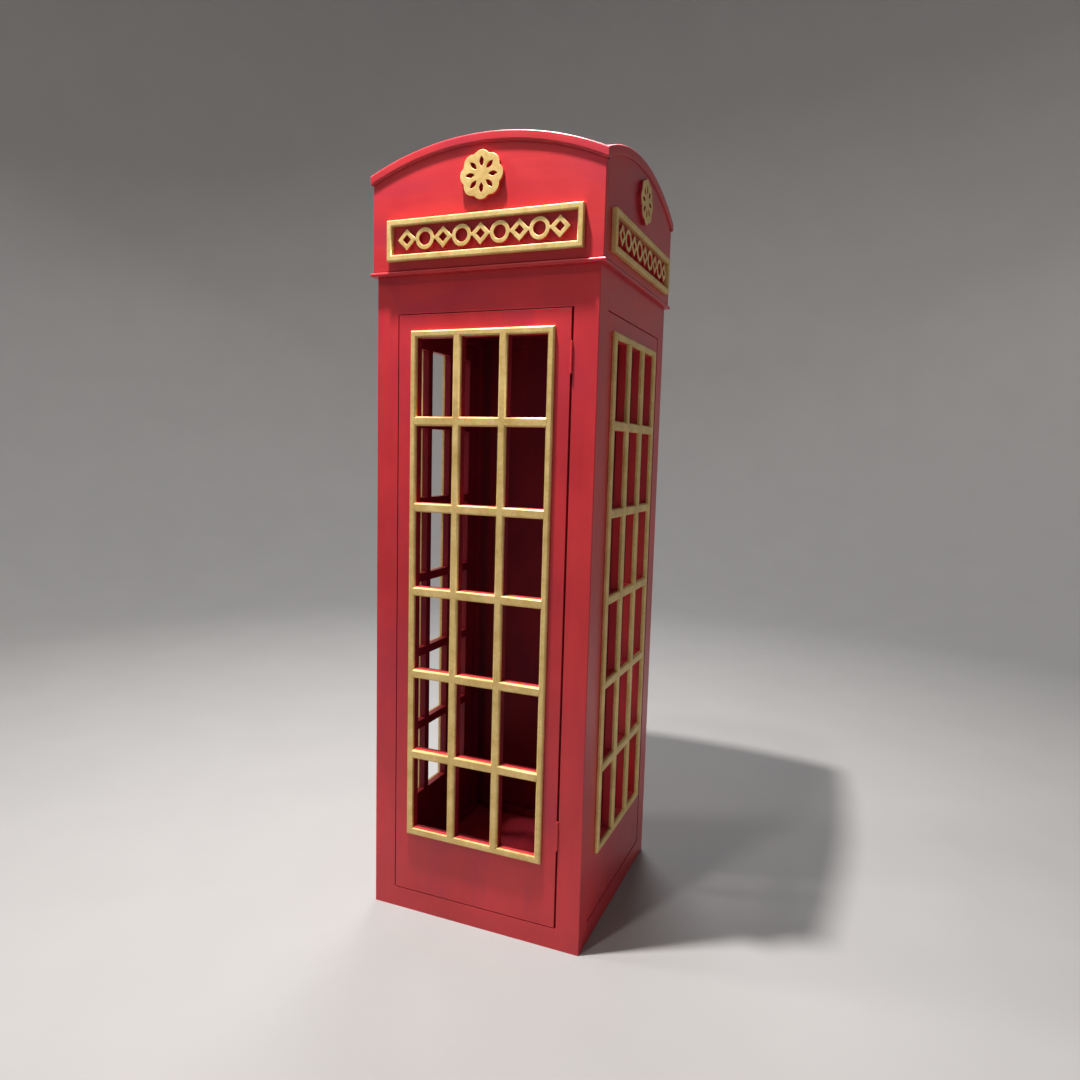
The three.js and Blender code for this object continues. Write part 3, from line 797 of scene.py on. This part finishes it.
def add_studio():
    """A round pale floor that curves up into a wall all round."""
    bm = bmesh.new()
    profile = [(0, 0), (STUDIO_MIDDLE, 0), (STUDIO_RADIUS, 0)]
    for i in range(1, SWEEP_STEPS + 1):
        turn = math.pi / 2 * i / SWEEP_STEPS
        out, up = SWEEP_RADIUS * math.sin(turn), SWEEP_RADIUS * (1 - math.cos(turn))
        profile.append((STUDIO_RADIUS + out, up))
    profile.append((STUDIO_RADIUS + SWEEP_RADIUS, STUDIO_HEIGHT))
    points = [bm.verts.new((x, 0, z)) for x, z in profile]
    lines = [bm.edges.new(pair) for pair in zip(points, points[1:])]
    bmesh.ops.spin(bm, geom=points + lines, cent=(0, 0, 0), axis=(0, 0, 1), angle=2 * math.pi,
                   steps=STUDIO_SIDES, use_merge=True)
    bmesh.ops.remove_doubles(bm, verts=bm.verts, dist=MM)
    bmesh.ops.recalc_face_normals(bm, faces=bm.faces)
    bmesh.ops.reverse_faces(bm, faces=bm.faces)
    mesh = bpy.data.meshes.new("studio_sweep")
    bm.to_mesh(mesh)
    bm.free()
    mesh.shade_smooth()
    s = Shader("pale paper")
    grain = s.noise(2.5, 4)
    floor = s.mix(grain, (0.325, 0.32, 0.315), (0.355, 0.35, 0.345))
    wall = s.mix(grain, (0.48, 0.475, 0.47), (0.52, 0.515, 0.51))
    paper = s.mix(s.spread(s.height(), 0.0, SWEEP_RADIUS), floor, wall)
    mesh.materials.append(s.finish(Base_Color=paper, Roughness=0.85))
    sweep = bpy.data.objects.new("studio_sweep", mesh)
    bpy.context.scene.collection.objects.link(sweep)


def add_light(name, towards, distance, size, power, target, colour):
    """A round lamp, seen from target in the direction towards."""
    light = bpy.data.lights.new(name, "AREA")
    light.shape = "DISK"
    light.size = size
    light.energy = power
    light.color = colour
    lamp = bpy.data.objects.new(name, light)
    direction = Vector(towards).normalized()
    lamp.location = Vector(target) + distance * direction
    lamp.rotation_euler = direction.to_track_quat("Z", "Y").to_euler()
    bpy.context.scene.collection.objects.link(lamp)


def add_lights():
    for name, settings in LAMPS.items():
        add_light(name, *settings)
    world = bpy.data.worlds.new("soft studio")
    world.use_nodes = True
    background = world.node_tree.nodes["Background"]
    background.inputs["Color"].default_value = (*SKY_COLOUR, 1)
    background.inputs["Strength"].default_value = SKY_STRENGTH
    bpy.context.scene.world = world


def add_camera():
    data = bpy.data.cameras.new("camera")
    data.lens, data.sensor_width = CAMERA_LENS, CAMERA_SENSOR
    data.clip_start, data.clip_end = 0.05, 60
    camera = bpy.data.objects.new("camera", data)
    yaw, pitch, roll = CAMERA_YAW, CAMERA_PITCH, CAMERA_ROLL
    forward = Vector((-math.sin(yaw) * math.cos(pitch), math.cos(yaw) * math.cos(pitch), -math.sin(pitch)))
    right = Vector((math.cos(yaw), math.sin(yaw), 0))
    down = forward.cross(right)
    across = right * math.cos(roll) + down * math.sin(roll)
    down = down * math.cos(roll) - right * math.sin(roll)
    turn = Matrix((across, -down, -forward)).transposed()
    camera.matrix_world = Matrix.Translation(CAMERA_PLACE) @ turn.to_4x4()
    bpy.context.scene.collection.objects.link(camera)
    bpy.context.scene.camera = camera


add_camera()
add_posts()
add_rails()
add_window_panels()
add_back_panel()
add_battens()
add_windows()
add_floor_and_ceiling()
add_cornice()
add_fascias()
add_arch_mouldings()
add_roof()
add_sign_frames()
add_sign_ornaments()
add_emblems()
add_hinges()
add_catch()
add_catch_strike()
add_studio()
add_lights()
bpy.context.scene.view_settings.view_transform = "Standard"
